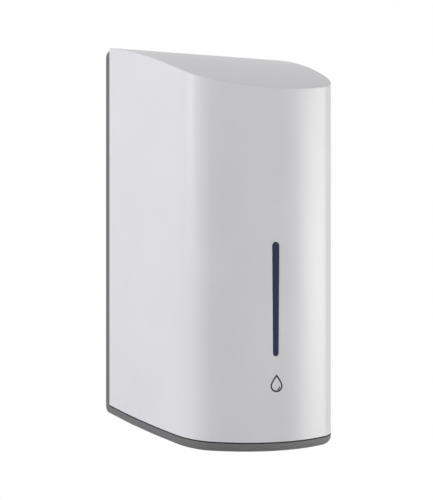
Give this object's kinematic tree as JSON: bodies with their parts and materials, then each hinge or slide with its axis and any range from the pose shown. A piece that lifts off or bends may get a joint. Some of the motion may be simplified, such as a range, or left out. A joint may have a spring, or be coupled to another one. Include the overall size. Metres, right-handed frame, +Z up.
{
  "type": "automatic gel dispenser",
  "caption": "Wall-hung touch-free gel dispenser: tall lift-up shell with a level window, sloping base with nozzle and hand sensor, refillable tank and battery gear pump inside.",
  "frame": {"origin": "centre of the wall plate's rear face, on the wall plane", "axes": "+Z up, +Y into the wall, +X to the right of someone facing the dispenser"},
  "size_m": [0.1434, 0.1066, 0.2793],
  "materials": {
    "white_shell": "satin moulded ABS, white",
    "grey_shell": "fine-textured moulded ABS, mid grey",
    "dark_case": "moulded ABS, dark grey",
    "light_case": "moulded ABS, light grey",
    "blue_window": "polished tinted acrylic, dark navy",
    "tank_plastic": "natural polypropylene, translucent",
    "cap_plastic": "moulded polypropylene, dark grey",
    "silicone": "moulded silicone, translucent",
    "steel": "zinc-plated steel",
    "zinc": "nickel-plated zinc casting or motor can",
    "brass": "turned brass",
    "board": "glass-epoxy board with green solder mask",
    "dark_lens": "infrared-passing acrylic, near black",
    "lamp": "clear epoxy lamp body",
    "cell_wrap": "cell can in a printed sleeve",
    "pump_plastic": "acetal, natural white"
  },
  "bodies": {
    "chassis": {"chassis": "grey_shell", "nozzle": "dark_case", "inlet_socket": "dark_case", "switch_body": "dark_case", "battery_box": "dark_case", "drive_cover": "light_case", "hinge_rod": "steel", "drive_cover_screw_1": "steel", "drive_cover_screw_2": "steel", "drive_cover_screw_3": "steel", "drive_cover_screw_4": "steel", "pump_screw_1": "steel", "pump_screw_2": "steel", "battery_box_screw_1": "steel", "battery_box_screw_2": "steel", "idler_pin": "steel", "contact_spring_1": "steel", "contact_spring_2": "steel", "contact_spring_3": "steel", "contact_spring_4": "steel", "contact_plate_1": "steel", "contact_plate_2": "steel", "contact_plate_3": "steel", "contact_plate_4": "steel", "contact_plate_5": "steel", "outlet_tube": "silicone", "drip_valve": "silicone", "pump_body": "pump_plastic", "pump_plate": "pump_plastic", "motor": "zinc", "lock_body": "zinc", "lock_nut": "zinc", "sensor_window": "dark_lens", "ir_receiver": "dark_lens", "ir_emitter": "lamp", "status_lamp": "lamp", "sensor_board": "board", "control_board": "board", "button_board": "board", "battery_1": "cell_wrap", "battery_2": "cell_wrap", "battery_3": "cell_wrap", "battery_4": "cell_wrap"},
    "front_cover": {"front_cover": "white_shell", "level_window": "blue_window", "window_retainer": "dark_case"},
    "tank": {"tank": "tank_plastic", "tank_seal": "silicone"},
    "tank_cap": {"tank_cap": "cap_plastic", "cap_seal": "silicone"},
    "battery_lid": {"battery_lid": "dark_case"},
    "lock": {"lock_plug": "brass", "lock_cam": "zinc", "cam_screw": "steel"},
    "power_rocker": {"power_rocker": "dark_case"},
    "dose_button": {"dose_button": "dark_case"},
    "pump_drive": {"motor_shaft": "steel", "drive_gear": "pump_plastic"},
    "pump_idler": {"idler_gear": "pump_plastic"}
  },
  "joints": [
    {"name": "cover_hinge", "type": "hinge", "parent": "chassis", "child": "front_cover", "pos_m": [0, -0.0023, 0.12578], "axis": [-1, 0, 0], "range_deg": [0, 80]},
    {"name": "tank_lift", "type": "slide", "parent": "chassis", "child": "tank", "axis": [0, 0, 1], "range_m": [0, 0.014]},
    {"name": "cap_turn", "type": "hinge", "parent": "tank", "child": "tank_cap", "pos_m": [0, -0.058, 0.07712], "axis": [0, 0, 1], "range_deg": [0, 360]},
    {"name": "battery_lid_slide", "type": "slide", "parent": "chassis", "child": "battery_lid", "axis": [0, 0, 1], "range_m": [0, 0.06]},
    {"name": "lock_turn", "type": "hinge", "parent": "chassis", "child": "lock", "pos_m": [0.044, -0.07911, -0.14572], "axis": [0, 0.2164, -0.9763], "range_deg": [0, 90]},
    {"name": "rocker_tilt", "type": "hinge", "parent": "chassis", "child": "power_rocker", "pos_m": [-0.032, -0.0917, -0.08978], "axis": [0, 0, -1], "range_deg": [0, 20]},
    {"name": "button_press", "type": "slide", "parent": "chassis", "child": "dose_button", "axis": [0, 1, 0], "range_m": [0, 0.001], "stiffness_N_per_m": 400},
    {"name": "pump_drive_spin", "type": "hinge", "parent": "chassis", "child": "pump_drive", "pos_m": [-0.0061, -0.072, -0.10618], "axis": [0, 1, 0], "continuous": true},
    {"name": "pump_idler_spin", "type": "hinge", "parent": "chassis", "child": "pump_idler", "pos_m": [0.0061, -0.072, -0.10618], "axis": [0, 1, 0], "continuous": true}
  ],
  "couplings": [
    {"joint": "pump_idler_spin", "follows": "pump_drive_spin", "ratio": -1}
  ]
}
